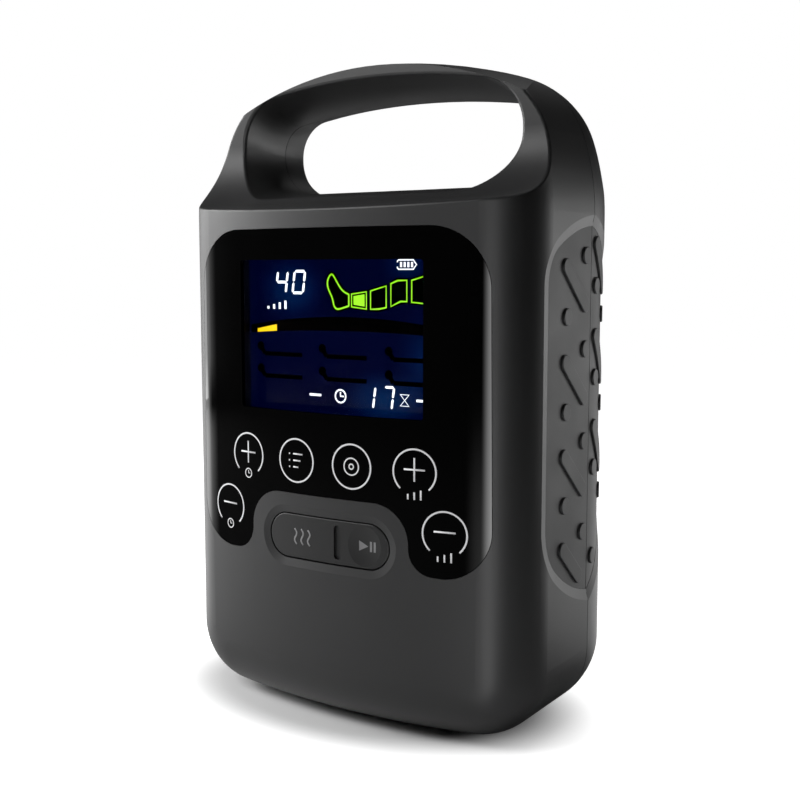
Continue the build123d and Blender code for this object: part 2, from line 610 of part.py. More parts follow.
def display_ribbon():
    """Flat cable with a plug at each end, bent over between the display board and the main board."""
    near, far, plug = LCD_Y + LCD_T + LIGHT_T + BOARD_T, BOARD_Y, 1.2
    y0, y1, low, high = near + plug / 2, far - plug / 2, 170, 179
    bend = FilletPolyline((y0, low), (y0, high), (y1, high), (y1, low), radius=2.2)
    strip = extrude(side_plane(-12) * make_face(offset(bend, 0.15, side=Side.BOTH)), 24)
    plugs = [block((-12, 12), (y - plug / 2, y + plug / 2), (low - 3, low)) for y in (y0, y1)]
    return strip + plugs


# ---- battery ------------------------------------------------------------------------------------

def battery_tray():
    """Open box with two screw lugs on each side."""
    half = TRAY_HALF
    tray = block((-half, half), (TRAY_FRONT_Y, TRAY_REAR_Y), (TRAY_LOW_Z, COVER_Z))
    inside = (TRAY_FRONT_Y + TRAY_WALL, TRAY_REAR_Y - TRAY_WALL)
    tray -= block((TRAY_WALL - half, half - TRAY_WALL), inside, (TRAY_LOW_Z + TRAY_WALL, COVER_Z + 1))
    for x, y in TRAY_FEET:
        across = sorted((math.copysign(half, x), x + math.copysign(4, x)))
        tray += block(across, (y - 4, y + 4), (TRAY_LOW_Z, TRAY_LOW_Z + LUG_T))
    return tray - [rod("Z", SMALL_HOLE_R + 0.2, TRAY_LOW_Z - 1, TRAY_LOW_Z + 3, at) for at in TRAY_FEET]


def battery_parts():
    """Three cells side by side in their tray, under a cover that carries the pump."""
    middle_y, middle_z = (TRAY_FRONT_Y + TRAY_REAR_Y) / 2, TRAY_LOW_Z + TRAY_WALL + CELL_R
    cells = [rod("X", CELL_R, -CELL_L / 2, CELL_L / 2, (middle_y + step * CELL_PITCH, middle_z))
             for step in (-1, 0, 1)]
    cover = block((-46, 46), (TRAY_FRONT_Y, TRAY_REAR_Y), (COVER_Z, COVER_Z + COVER_T))
    return {"battery_cells": group(cells), "battery_tray": battery_tray(), "battery_cover": cover}


# ---- pump ---------------------------------------------------------------------------------------

def pump_mounts():
    """Rubber blocks that keep the pump's hum from the housing."""
    return group([rod("Z", 4.5, COVER_Z + COVER_T, DECK_Z, (x, y)) for x in (-40, 40) for y in (-12, 16)])


def pump_deck():
    """Folded steel bracket whose upright holds the motor."""
    deck = block((-58, 46), (-18, 22), (DECK_Z, DECK_Z + DECK_T))
    upright = block((MOTOR_X1, PUMP_XS[0]), (-18, 22), (DECK_Z, SHAFT_Z + 18))
    return deck + upright - rod("X", 5.0, MOTOR_X1 - 1, MOTOR_X1 + 3, (SHAFT_Y, SHAFT_Z))


def motor_parts():
    """Brushed motor: can, cap with brush end, magnets, two bearings and the rotor with its crank."""
    axis = (SHAFT_Y, SHAFT_Z)
    inner_r = MOTOR_R - 1.2
    can = rod("X", MOTOR_R, MOTOR_X0, MOTOR_X1, axis) - rod("X", inner_r, MOTOR_X0 - 1, MOTOR_X1 - 1.5, axis)
    can -= rod("X", BEARING_R, MOTOR_X1 - 3, MOTOR_X1 + 1, axis)
    cap = rod("X", MOTOR_R, MOTOR_X0 - 2, MOTOR_X0, axis) + rod("X", 5.5, MOTOR_X0 - 5, MOTOR_X0 - 2, axis)
    cap -= rod("X", BEARING_R, MOTOR_X0 - 4, MOTOR_X0 + 1, axis)
    ring = tube("X", inner_r, MOTOR_R - 4.5, MOTOR_X0 + 6, MOTOR_X1 - 6, axis)
    gap = block((MOTOR_X0, MOTOR_X1), (SHAFT_Y - 3, SHAFT_Y + 3), (SHAFT_Z - 20, SHAFT_Z + 20))
    bearings = [tube("X", BEARING_R, SHAFT_R + RUN_FIT, start, end, axis)
                for start, end in ((MOTOR_X1 - 3, MOTOR_X1), (MOTOR_X0 - 4, MOTOR_X0))]
    rotor = rod("X", SHAFT_R, MOTOR_X0 - 3.5, CRANK_X1 + 1.5, axis)
    rotor += rod("X", 11.5, MOTOR_X0 + 8, MOTOR_X1 - 8, axis)
    rotor += rod("X", CRANK_R, CRANK_X0, CRANK_X1, (SHAFT_Y, SHAFT_Z + CRANK_THROW))
    return {"motor_can": can, "motor_cap": cap, "motor_magnets": ring - gap,
            "motor_bearings": group(bearings), "motor_rotor": rotor}


def pump_slab(z0, z1, wall=0.0):
    """Block of the pump's outline between two heights, drawn in by wall."""
    x0, x1 = PUMP_XS
    return block((x0 + wall, x1 - wall), (SHAFT_Y - PUMP_HALF + wall, SHAFT_Y + PUMP_HALF - wall), (z0, z1))


def pump_head():
    """Head with an air chamber, a filter spigot at the left and a tube spigot at the right."""
    x0, x1 = PUMP_XS
    head = pump_slab(HEAD_Z + 6, HEAD_Z + 16) - pump_slab(HEAD_Z + 5, HEAD_Z + 13, 3.0)
    head += [rod("X", SPIGOT_R, x1 - 2, x1 + 8, AIR_LINE), rod("X", SPIGOT_R, x0 - 6, x0 + 2, AIR_LINE)]
    return head - [rod("X", 1.2, x1 - 4, x1 + 9, AIR_LINE), rod("X", 1.2, x0 - 7, x0 + 4, AIR_LINE)]


def pump_rod():
    """Strap round the crank, and the stem and plate that it lifts."""
    strap_r, at = CRANK_R + 2 * CRANK_THROW, (PUMP_X, SHAFT_Y)
    strap = tube("X", strap_r + 1.8, strap_r + 0.3, CRANK_X0, CRANK_X1, (SHAFT_Y, SHAFT_Z))
    stem = rod("Z", 2.5, SHAFT_Z + strap_r + 1.0, HEAD_Z, at)
    return strap + stem + rod("Z", 8.6, HEAD_Z - 1.5, HEAD_Z + 1.5, at)


def pump_parts():
    at = (PUMP_X, SHAFT_Y)
    x0, x1 = PUMP_XS
    reach = PUMP_HALF - 4
    crank_room = block((x0 - 1, x1 - 4), (SHAFT_Y - reach, SHAFT_Y + reach), (DECK_Z + 5, HEAD_Z + 1))
    body = pump_slab(DECK_Z + DECK_T, HEAD_Z) - crank_room
    rim = rod("Z", 17.0, HEAD_Z, HEAD_Z + 1.5, at)
    membrane = rim - rod("Z", 9.0, HEAD_Z - 1, HEAD_Z + 3, at)
    plate = pump_slab(HEAD_Z + 1.5, HEAD_Z + 6) - rod("Z", 13.0, HEAD_Z + 1, HEAD_Z + 5, at)
    gasket = pump_slab(HEAD_Z, HEAD_Z + 1.5) - rim
    filter_can = tube("X", 8.0, SPIGOT_R, x0 - 14, x0 - 1, AIR_LINE)
    return {"pump_body": body, "pump_gasket": gasket, "pump_diaphragm": membrane, "pump_valve_plate": plate,
            "pump_head": pump_head(), "pump_rod": pump_rod(), "intake_filter": filter_can}


def pressure_tube():
    """Tube from the pump head to the inlet of the valve manifold."""
    start = (PUMP_XS[1] + 0.5, *AIR_LINE)
    end = (MANIFOLD_X1 + 0.5, VALVE_Y, PORT_Z)
    far = 56.0
    path = FilletPolyline(start, (far, start[1], start[2]), (far, end[1], end[2]), end, radius=6.0)
    ring = Plane(path @ 0, z_dir=path % 0) * (Circle(3.4) - Circle(SPIGOT_R + 0.05))
    return sweep(ring, path=path)


# ---- valves and ports ---------------------------------------------------------------------------

def valve_manifold():
    """Block with one air channel along it, and a seat and an outlet for each valve."""
    body = block((-MANIFOLD_X1, MANIFOLD_X1), (MANIFOLD_Y0, MANIFOLD_Y1), (MANIFOLD_Z0, MANIFOLD_Z1))
    body += rod("X", SPIGOT_R, MANIFOLD_X1 - 1, MANIFOLD_X1 + 7, (VALVE_Y, PORT_Z))
    cuts = [rod("X", NIPPLE_BORE_R, -MANIFOLD_X1 + 3, MANIFOLD_X1 + 8, (VALVE_Y, PORT_Z))]
    cuts += [rod("Z", 2.6, PORT_Z - 2.5, MANIFOLD_Z1 + 1, (x, VALVE_Y)) for x in PORT_XS]
    cuts += [rod("Y", 1.2, VALVE_Y + 1, MANIFOLD_Y1 + 1, (x, PORT_Z)) for x in PORT_XS]
    return body - cuts


def valve_coil(x):
    """Moulded coil with a blind bore for its plunger."""
    body = block((x - 7.5, x + 7.5), (VALVE_Y - 7.5, VALVE_Y + 7.5), (MANIFOLD_Z1, MANIFOLD_Z1 + 24))
    return body - rod("Z", PLUNGER_R + 0.05, MANIFOLD_Z1 - 1, COIL_BORE_Z, (x, VALVE_Y))


def valve_plunger(x):
    """Iron plunger at rest: its stroke ends just short of the bore's end."""
    foot, top = MANIFOLD_Z1 + 0.2, COIL_BORE_Z - VALVE_STROKE - 0.8
    return rod("Z", PLUNGER_R, foot, top, (x, VALVE_Y)) + rod("Z", 2.2, PORT_Z + 2.0, foot, (x, VALVE_Y))


def hose_port():
    """Plate with four hose nipples in a recess at the back, one for each chamber."""
    y0, y1 = MANIFOLD_Y1, MANIFOLD_Y1 + 2
    body = block((-PORT_HALF - 4, PORT_HALF + 4), (y0, y1), (MANIFOLD_Z0 - 4, MANIFOLD_Z1 + 4))
    for x in PORT_XS:
        body += rod("Y", NIPPLE_R, y1, REAR_Y - 1.5, (x, PORT_Z))
        body -= rod("Y", NIPPLE_BORE_R, y0 - 1, REAR_Y, (x, PORT_Z))
    return body


def dc_inlet():
    """Power socket with a round sleeve that ends in the rear wall."""
    at = (JACK_X, JACK_Z)
    body = block((JACK_X - 5, JACK_X + 5), (32, REAR_Y - WALL), (JACK_Z - 5.5, JACK_Z + 5.5))
    body += rod("Y", JACK_R + 0.9, REAR_Y - WALL - 1, REAR_Y - 0.3, at)
    return body - rod("Y", JACK_R, JACK_FLOOR_Y, REAR_Y, at)


def dc_contact():
    """Centre contact of the power socket."""
    return rod("Y", JACK_PIN_R, JACK_FLOOR_Y, REAR_Y - 1.0, (JACK_X, JACK_Z))


# ---- fasteners, feet and label ------------------------------------------------------------------

def case_screws():
    """Slotted screws that draw the two shells together from the back."""
    screws = []
    for x, z in CASE_SCREWS:
        shank = rod("Y", SHANK_R, SEAM_Y - 8.5, SCREW_SEAT_Y, (x, z))
        head = rod("Y", HEAD_R, SCREW_SEAT_Y, SCREW_SEAT_Y + 2, (x, z))
        slot = block((x - 1.8, x + 1.8), (SCREW_SEAT_Y + 1, SCREW_SEAT_Y + 3), (z - 0.4, z + 0.4))
        screws.append(shank + head - slot)
    return group(screws)


def small_screw(axis, face, length, at):
    """Self-tapping screw whose head lies on a face."""
    shank = rod(axis, SMALL_SHANK_R, face - length, face, at)
    return shank + rod(axis, SMALL_HEAD_R, face, face + SMALL_HEAD_T, at)


def small_screws():
    screws = [small_screw("Y", BOARD_Y + BOARD_T, 7.0, at) for at in BOARD_SCREWS]
    screws += [small_screw("Y", CRADLE_Y + CRADLE_T, 5.5, (x, PILL_Z)) for x in CRADLE_XS]
    screws += [small_screw("Z", TRAY_LOW_Z + LUG_T, 5.0, at) for at in TRAY_FEET]
    return group(screws)


def rubber_feet():
    return group([rod("Z", FOOT_R, 0, FOOT_H, at) for at in FEET])


def rating_label():
    return block(LABEL_X, (REAR_Y - LABEL_T, REAR_Y - 0.1), LABEL_Z)


def make_parts():
    parts = {"front_shell": front_shell(), "rear_shell": rear_shell()}
    parts.update(grip_pads())
    parts.update({"control_panel": control_panel(), "display_window": display_window(),
                  "display_bezel": display_bezel()})
    parts.update(display_parts())
    parts.update({"touch_board": touch_board(), "touch_springs": touch_springs()})
    parts.update(rocker_parts())
    parts.update(board_parts())
    parts["display_ribbon"] = display_ribbon()
    parts.update(battery_parts())
    parts.update({"pump_mounts": pump_mounts(), "pump_deck": pump_deck()})
    parts.update(motor_parts())
    parts.update(pump_parts())
    parts.update({"pressure_tube": pressure_tube(), "valve_manifold": valve_manifold()})
    for number, x in enumerate(PORT_XS, start=1):
        parts[f"valve_coil_{number}"] = valve_coil(x)
        parts[f"valve_plunger_{number}"] = valve_plunger(x)
    parts.update({"hose_port": hose_port(), "dc_inlet": dc_inlet(), "dc_contact": dc_contact(),
                  "case_screws": case_screws(), "small_screws": small_screws(), "rubber_feet": rubber_feet(),
                  "rating_label": rating_label()})
    return parts


def main():
    os.makedirs("parts", exist_ok=True)
    for name, shape in make_parts().items():
        export_step(shape, f"parts/{name}.step")


main()
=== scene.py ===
import math

import bmesh
import bpy
from mathutils import Matrix, Vector


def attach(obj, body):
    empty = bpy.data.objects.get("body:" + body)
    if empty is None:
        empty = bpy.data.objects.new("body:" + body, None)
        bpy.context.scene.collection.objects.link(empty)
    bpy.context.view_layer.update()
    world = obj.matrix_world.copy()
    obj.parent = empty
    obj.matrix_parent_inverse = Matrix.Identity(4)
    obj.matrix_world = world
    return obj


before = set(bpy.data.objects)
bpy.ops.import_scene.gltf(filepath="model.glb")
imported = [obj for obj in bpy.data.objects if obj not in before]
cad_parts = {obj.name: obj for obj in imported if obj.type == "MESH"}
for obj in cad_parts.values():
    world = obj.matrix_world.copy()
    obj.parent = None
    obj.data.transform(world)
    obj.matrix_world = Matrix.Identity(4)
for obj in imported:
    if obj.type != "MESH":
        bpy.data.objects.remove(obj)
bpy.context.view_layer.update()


# ---- Viewpoint ----------------------------------------------------------------------------------
# The viewer stands in front of the pump and to its right, a little above the middle of the housing,
# and looks slightly down.

MM = 0.001
EYE = Vector((250.57, -381.28, 166.76)) * MM
TURN, LOOK_DOWN = math.radians(33.187), math.radians(6.304)
LENS, SENSOR = 53.1, 36.0

camera_data = bpy.data.cameras.new("viewpoint")
camera_data.lens = LENS
camera_data.sensor_width = SENSOR
camera = bpy.data.objects.new("viewpoint", camera_data)
bpy.context.scene.collection.objects.link(camera)
camera.location = EYE
camera.rotation_euler = (math.pi / 2 - LOOK_DOWN, 0, TURN)
bpy.context.scene.camera = camera
bpy.context.scene.view_settings.view_transform = "Standard"


# ---- Housing ------------------------------------------------------------------------------------
# Two shells moulded in charcoal ABS with a fine spark-eroded grain, closed with a thin groove all
# round. They form the handle too.

class Signal:
    """A number that varies over a surface. Python's own operators on it add the Math nodes."""

    def __init__(self, finish, socket):
        self.finish = finish
        self.socket = socket

    def math(self, operation, *values):
        return self.finish.node("ShaderNodeMath", {"operation": operation}, self, *values)

    def __add__(self, other):
        return self.math("ADD", other)

    __radd__ = __add__

    def __mul__(self, other):
        return self.math("MULTIPLY", other)

    __rmul__ = __mul__

    def __sub__(self, other):
        return self.math("SUBTRACT", other)

    def __rsub__(self, other):
        return (self * -1) + other

    def __pow__(self, other):
        return self.math("POWER", other)

    def above(self, edge, soft):
        """0 below edge and 1 above it, with a soft step."""
        return self.finish.node("ShaderNodeMapRange", {"interpolation_type": "SMOOTHSTEP"}, self,
                                edge - soft, edge + soft, 0.0, 1.0)


class Finish:
    """One procedural material. Settings are values of the shader's own sockets."""

    def __init__(self, name, **settings):
        self.material = bpy.data.materials.new(name)
        self.material.use_nodes = True
        self.tree = self.material.node_tree
        self.shader = self.tree.nodes["Principled BSDF"]
        for socket, value in settings.items():
            self.shader.inputs[socket.replace("_", " ")].default_value = value
        self.place = self.node("ShaderNodeTexCoord", {}, out="Object")

    def node(self, kind, settings, *values, out=0, **named):
        """Adds a node. Settings are set first, then the values or links of its sockets."""
        made = self.tree.nodes.new(kind)
        for key, value in settings.items():
            if key == "stops":
                self.set_stops(made.color_ramp, value)
            else:
                setattr(made, key, value)
        for slot, value in list(enumerate(values)) + list(named.items()):
            self.feed(made.inputs[slot], value)
        return Signal(self, made.outputs[out])

    def set_stops(self, ramp, stops):
        while len(ramp.elements) < len(stops):
            ramp.elements.new(0.5)
        for element, (position, colour) in zip(ramp.elements, stops):
            element.position = position
            element.color = (*colour, 1.0)

    def feed(self, socket, value):
        if isinstance(value, Signal):
            self.tree.links.new(value.socket, socket)
        else:
            socket.default_value = value

    def drive(self, socket, signal):
        self.feed(self.shader.inputs[socket], signal)

    def along(self, axis):
        """One coordinate of the place on the surface."""
        return self.node("ShaderNodeSeparateXYZ", {}, self.place, out=axis)

    def noise(self, size_mm, detail=2.0):
        """Noise from 0 to 1 whose lumps are about size_mm across."""
        scale = 1 / (size_mm * MM)
        return self.node("ShaderNodeTexNoise", {}, out="Fac", Vector=self.place, Scale=scale,
                         Detail=detail, Roughness=0.5)

    def tint(self, factor, low, high):
        """Colour that runs from low to high with a factor."""
        stops = ((0.0, low), (1.0, high))
        return self.node("ShaderNodeValToRGB", {"stops": stops}, factor, out="Color")

    def bump(self, height, depth_mm, strength):
        normal = self.node("ShaderNodeBump", {}, out="Normal", Strength=strength,
                           Distance=depth_mm * MM, Height=height)
        self.drive("Normal", normal)

    def wear(self, colours, rough, size_mm):
        """Slow drift of colour and roughness over a surface, each between two values."""
        drift = self.noise(size_mm, detail=4.0)
        self.drive("Base Color", self.tint(drift, *colours))
        self.drive("Roughness", drift * (rough[1] - rough[0]) + rough[0])


def coat_nodes(finish, *names):
    """The finish goes on these nodes of the model."""
    for name in names:
        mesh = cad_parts[name].data
        mesh.materials.clear()
        mesh.materials.append(finish.material)


def grey(value):
    """Grey with a trace of blue."""
    return (value, value, value * 1.02)


housing = Finish("charcoal_abs", Specular_IOR_Level=0.45)
grain = housing.noise(0.35, detail=3.0)
cloud = housing.noise(30.0)
housing.drive("Base Color", housing.tint(cloud * 0.7 + grain * 0.3, grey(0.030), grey(0.036)))
housing.drive("Roughness", grain * 0.12 + cloud * 0.06 + 0.36)
housing.bump(grain, depth_mm=0.02, strength=0.5)
coat_nodes(housing, "front_shell", "rear_shell")


# ---- Grip pads ----------------------------------------------------------------------------------
# Four soft elastomer pads with slanted ribs and dots, bonded into pockets in both sides of the
# housing, two in each shell.

elastomer = Finish("grip_elastomer", Specular_IOR_Level=0.4)
pores = elastomer.noise(0.5, detail=3.0)
haze = elastomer.noise(14.0, detail=3.0)
elastomer.drive("Base Color", elastomer.tint(haze * 0.6 + pores * 0.4, grey(0.040), grey(0.052)))
elastomer.drive("Roughness", pores * 0.1 + haze * 0.1 + 0.42)
elastomer.bump(pores, depth_mm=0.03, strength=0.5)
coat_nodes(elastomer, "grip_pad_front_left", "grip_pad_front_right", "grip_pad_rear_left",
           "grip_pad_rear_right")


# ---- Control panel ------------------------------------------------------------------------------
# One moulded piece of gloss black acrylic that follows the bulge of the front and rolls over both
# corners. Its coat has full gloss only on the rolled corners and hardly any over the flat middle:
# painted shade that keeps the middle black under any light, in place of dark surroundings in its
# mirror. A faint haze from wiping drifts over its black.

GLOSS_FROM_X, GLOSS_SOFT, FLAT_GLOSS = 0.0580, 0.0035, 0.04

acrylic = Finish("black_acrylic", Specular_IOR_Level=0.0, Coat_Roughness=0.03)
smears = acrylic.noise(18.0, detail=5.0)
acrylic.drive("Base Color", acrylic.tint(smears, grey(0.0015), grey(0.0025)))
acrylic.drive("Roughness", smears * 0.05 + 0.03)
# Gloss is kept to the rolled corners only: the flat middle is painted black by taking its coat away.
rolled_over = acrylic.along("X").math("ABSOLUTE").above(GLOSS_FROM_X, GLOSS_SOFT)
acrylic.drive("Coat Weight", rolled_over * (1 - FLAT_GLOSS) + FLAT_GLOSS)
coat_nodes(acrylic, "control_panel")


# ---- Marks of the touch keys --------------------------------------------------------------------
# Thin pale ink printed on the panel: two full rings, four rings that are open below, and signs
# inside and under them. The ink follows the bulge of the panel. Besides its pale colour it has
# a painted glow, which keeps the marks bright on the black panel whatever lights them.

# The panel's bulge, then the places of the keys: two rows, and each key's distance from the middle.
BULGE_R, FRONT_Y = 245.0, -48.5
UPPER_Z, LOWER_Z = 98.0, 77.2
TIME_X, LEVEL_X, MINUS_X, FULL_X = -36.93, 36.93, 47.9, 12.25
# The rings with half of their opening, the plus and minus signs, and what stands under them.
KEY_R, KEY_W, OPEN_HALF = 7.9, 0.62, math.radians(42)
SIGN_UP, SIGN_HALF_X, SIGN_HALF_Z = 0.8, 3.9, 4.1
CLOCK_DOWN, CLOCK_R, CLOCK_HANDS, CLOCK_W = 7.2, 1.7, (1.02, 0.85), 0.42
LEVEL_DOWN, LEVEL_PITCH, LEVEL_HEIGHTS = 9.6, 2.4, (1.9, 2.6, 3.4)
# The list and the target inside the two full rings.
LIST_PITCH, LIST_LENGTHS = 2.4, (4.4, 3.4, 2.4)
LIST_DOT_X, LIST_DOT_L, LIST_LINE_X, LIST_LINE_W = 3.4, 0.5, 1.4, 0.55
TARGET_RADII, TARGET_W = (3.0, 0.9), 0.5
INK_LIFT, INK_FLATNESS = 0.03, 0.1


def panel_y(x):
    """Depth of the panel's surface at a distance from the middle, in millimetres."""
    return FRONT_Y + BULGE_R - math.sqrt(BULGE_R ** 2 - x ** 2)


def stroke(mesh, points, width, closed=False, smooth=False, flatness=INK_FLATNESS):
    """Rounded line through points in the X-Z plane, pressed nearly flat."""
    curve = bpy.data.curves.new("stroke", "CURVE")
    curve.dimensions = "3D"
    curve.bevel_depth = width / 2
    curve.bevel_resolution = 2
    curve.use_fill_caps = True
    spline = curve.splines.new("NURBS" if smooth else "POLY")
    spline.points.add(len(points) - 1)
    for point, (x, z) in zip(spline.points, points):
        point.co = (x, 0, z, 1)
    spline.use_cyclic_u = closed
    if smooth:
        spline.order_u = 4
        spline.resolution_u = 6
        spline.use_endpoint_u = not closed
    holder = bpy.data.objects.new("stroke", curve)
    drawn = bpy.data.meshes.new_from_object(holder)
    drawn.transform(Matrix.Diagonal((1, flatness, 1, 1)))
    mesh.from_mesh(drawn)
    bpy.data.objects.remove(holder)
    bpy.data.curves.remove(curve)
    bpy.data.meshes.remove(drawn)


def arc(centre, radius, start, sweep, steps=48):
    """Points of an arc, anticlockwise as seen from the front."""
    turns = [start + sweep * step / steps for step in range(steps + 1)]
    return [(centre[0] + radius * math.cos(t), centre[1] + radius * math.sin(t)) for t in turns]


def full_circle(centre, radius, steps=48):
    """Points of a circle, for a line that closes by itself."""
    return arc(centre, radius, 0, 2 * math.pi, steps)[:-1]


def open_ring(mesh, centre):
    """Ring of a key, open below."""
    start = -math.pi / 2 + OPEN_HALF
    stroke(mesh, arc(centre, KEY_R, start, 2 * math.pi - 2 * OPEN_HALF), KEY_W)


def sign(mesh, centre, plus):
    """Minus sign, or a plus sign."""
    x, z = centre
    stroke(mesh, [(x - SIGN_HALF_X, z), (x + SIGN_HALF_X, z)], KEY_W)
    if plus:
        stroke(mesh, [(x, z - SIGN_HALF_Z), (x, z + SIGN_HALF_Z)], KEY_W)


def clock(mesh, centre, radius, hands, width):
    """Round dial with one hand up and one to the right."""
    x, z = centre
    up, across = hands
    stroke(mesh, full_circle(centre, radius), width, closed=True)
    stroke(mesh, [(x, z + up), (x, z), (x + across, z)], width)


def level_bars(mesh, centre):
    """Three rising bars under a key."""
    low = centre[1] - LEVEL_DOWN
    for step, height in enumerate(LEVEL_HEIGHTS):
        x = centre[0] + (step - 1) * LEVEL_PITCH
        stroke(mesh, [(x, low), (x, low + height)], KEY_W)


def list_sign(mesh, centre):
    """Three lines of a list, each after a dot."""
    x, middle_z = centre
    for row, length in enumerate(LIST_LENGTHS):
        z = middle_z + LIST_PITCH - LIST_PITCH * row
        stroke(mesh, [(x - LIST_DOT_X, z), (x - LIST_DOT_X + LIST_DOT_L, z)], KEY_W)
        stroke(mesh, [(x - LIST_LINE_X, z), (x - LIST_LINE_X + length, z)], LIST_LINE_W)


def make_piece(name, mesh, finish, body):
    """Turns millimetres into a finished piece that rides on a body of the model."""
    bmesh.ops.scale(mesh, vec=(MM, MM, MM), verts=mesh.verts)
    bmesh.ops.remove_doubles(mesh, verts=mesh.verts, dist=1e-7)
    bmesh.ops.recalc_face_normals(mesh, faces=mesh.faces)
    data = bpy.data.meshes.new(name)
    mesh.to_mesh(data)
    mesh.free()
    data.materials.append(finish.material)
    piece = bpy.data.objects.new(name, data)
    bpy.context.scene.collection.objects.link(piece)
    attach(piece, body)


marks = bmesh.new()
for x in (-FULL_X, FULL_X):
    stroke(marks, full_circle((x, UPPER_Z), KEY_R), KEY_W, closed=True)
for x, z, plus in ((TIME_X, UPPER_Z, True), (LEVEL_X, UPPER_Z, True), (-MINUS_X, LOWER_Z, False),
                   (MINUS_X, LOWER_Z, False)):
    open_ring(marks, (x, z))
    sign(marks, (x, z + SIGN_UP), plus)
    if x < 0:
        clock(marks, (x, z - CLOCK_DOWN), CLOCK_R, CLOCK_HANDS, CLOCK_W)
    else:
        level_bars(marks, (x, z))
list_sign(marks, (-FULL_X, UPPER_Z))
for radius in TARGET_RADII:
    stroke(marks, full_circle((FULL_X, UPPER_Z), radius), TARGET_W, closed=True)
for vert in marks.verts:
    vert.co.y += panel_y(vert.co.x) - INK_LIFT

# The emission is a painted glow on printed ink, not light from a lamp.
ink_with_painted_glow = Finish("pale_ink_with_painted_glow", Emission_Strength=0.35)
density = ink_with_painted_glow.noise(1.2)
ink_with_painted_glow.drive("Base Color", ink_with_painted_glow.tint(density, grey(0.50), grey(0.60)))
ink_with_painted_glow.drive("Emission Color", ink_with_painted_glow.tint(density, grey(0.75), grey(0.85)))
ink_with_painted_glow.drive("Roughness", density * 0.1 + 0.4)
make_piece("key_marks", marks, ink_with_painted_glow, "casing")


# ---- Window and tunnel --------------------------------------------------------------------------
# Clear acrylic set flush into the panel, and behind it a black tunnel that reaches back to the
# display.

pane = Finish("clear_acrylic", Transmission_Weight=1.0, IOR=1.04, Specular_IOR_Level=0.1)
pane.drive("Roughness", pane.noise(20.0, detail=4.0) * 0.01)
pane.drive("Base Color", pane.tint(pane.noise(25.0), (0.93, 0.94, 0.97), (0.96, 0.97, 1.0)))
coat_nodes(pane, "display_window")

tunnel = Finish("satin_black", Specular_IOR_Level=0.5)
tunnel.wear((grey(0.004), grey(0.006)), rough=(0.2, 0.28), size_mm=6.0)
coat_nodes(tunnel, "display_bezel")


# ---- Display glass ------------------------------------------------------------------------------
# Flat liquid-crystal glass that stands at the rear end of the tunnel. It is lit from behind, in deep
# blue with a few soft brighter patches.

LCD_Y = -38.0
# Middle of each patch, its reach to the side and up, and how bright it is.
PATCHES = ((-21.5, 160, 17, 14, 0.75), (29, 168.5, 12, 8, 0.55), (20, 121, 24, 12, 0.8),
           (38, 136, 16, 20, 0.55))
DRIFT_MM, DRIFT = 25.0, 0.12
NIGHT_BLUE = ((0.0, (0.0, 0.0, 0.010)), (0.35, (0.0, 0.002, 0.022)), (0.75, (0.0, 0.008, 0.045)),
              (1.0, (0.0, 0.018, 0.075)))

lcd = Finish("blue_display", Emission_Strength=1.0, Roughness=0.12)
across, upward = lcd.along("X"), lcd.along("Z")
light = lcd.noise(DRIFT_MM) * DRIFT
for x, z, reach_x, reach_z, strength in PATCHES:
    dx = (across - x * MM) * (1 / (reach_x * MM))
    dz = (upward - z * MM) * (1 / (reach_z * MM))
    patch = (1 - (dx * dx + dz * dz)).math("MAXIMUM", 0.0) ** 2
    light = light + patch * strength
lcd.drive("Emission Color", lcd.node("ShaderNodeValToRGB", {"stops": NIGHT_BLUE}, light, out="Color"))
lcd.drive("Base Color", lcd.tint(light, (0.001, 0.001, 0.006), (0.001, 0.003, 0.012)))
coat_nodes(lcd, "lcd_glass")


# ---- Digits and signs of the display ------------------------------------------------------------
# White segments on the glass: two pairs of plain slanted digits, two dashes, a clock, four rising
# bars, an hourglass and a battery.

SLANT = math.tan(math.radians(8.0))
DIGIT_GAP, SEGMENT_T = 0.12, 0.05
# The bars that are lit, then left, low, width and height of the digit and the width of a bar.
DIGITS = (("bcfg", -29.4, 157.8, 5.6, 8.8, 1.0), ("abcdef", -21.6, 157.8, 5.8, 8.9, 1.0),
          ("bc", 10.2, 117.3, 4.9, 8.6, 0.9), ("abc", 18.1, 117.4, 4.9, 8.7, 0.9))
DASHES, DASH_W = (((-13.5, 121.2), (-8.2, 121.2)), ((33.0, 121.6), (36.5, 121.6))), 0.9
DIAL, DIAL_R, DIAL_HANDS, DIAL_W = (0.5, 121.3), 2.3, (1.5, 1.4), 0.6
RISING_BARS, RISING_X, RISING_PITCH, RISING_W = 4, -32.5, 2.7, 1.0
RISING_LOW, RISING_TOP, RISING_STEP = 152.3, 153.3, 0.7
HOURGLASS = ((26.3, 119.4), (29.9, 119.4), (26.3, 123.4), (29.9, 123.4))
BATTERY = (((25.6, 170.1), (25.1, 169.7), (25.1, 169.3)),
           ((25.1, 167.8), (25.1, 167.3), (25.6, 166.9), (31.6, 166.9), (32.9, 168.5), (31.6, 170.1),
            (25.6, 170.1)))
OUTLINE_W = 0.5
CHARGE_BARS, CHARGE_X, CHARGE_PITCH, CHARGE_W = 4, 26.6, 1.5, 0.85
CHARGE_LOW, CHARGE_TOP = 167.6, 169.4
LIT_LIFT = 0.12


def segment(mesh, start, end, width):
    """One bar of a digit, with pointed ends."""
    a, b = Vector((*start, 0)), Vector((*end, 0))
    along = (b - a).normalized()
    side = Vector((-along.y, along.x, 0)) * width / 2
    corners = [a, a + along * width / 2 + side, b - along * width / 2 + side, b,
               b - along * width / 2 - side, a + along * width / 2 - side]
    mesh.faces.new([mesh.verts.new((corner.x, 0, corner.y)) for corner in corners])


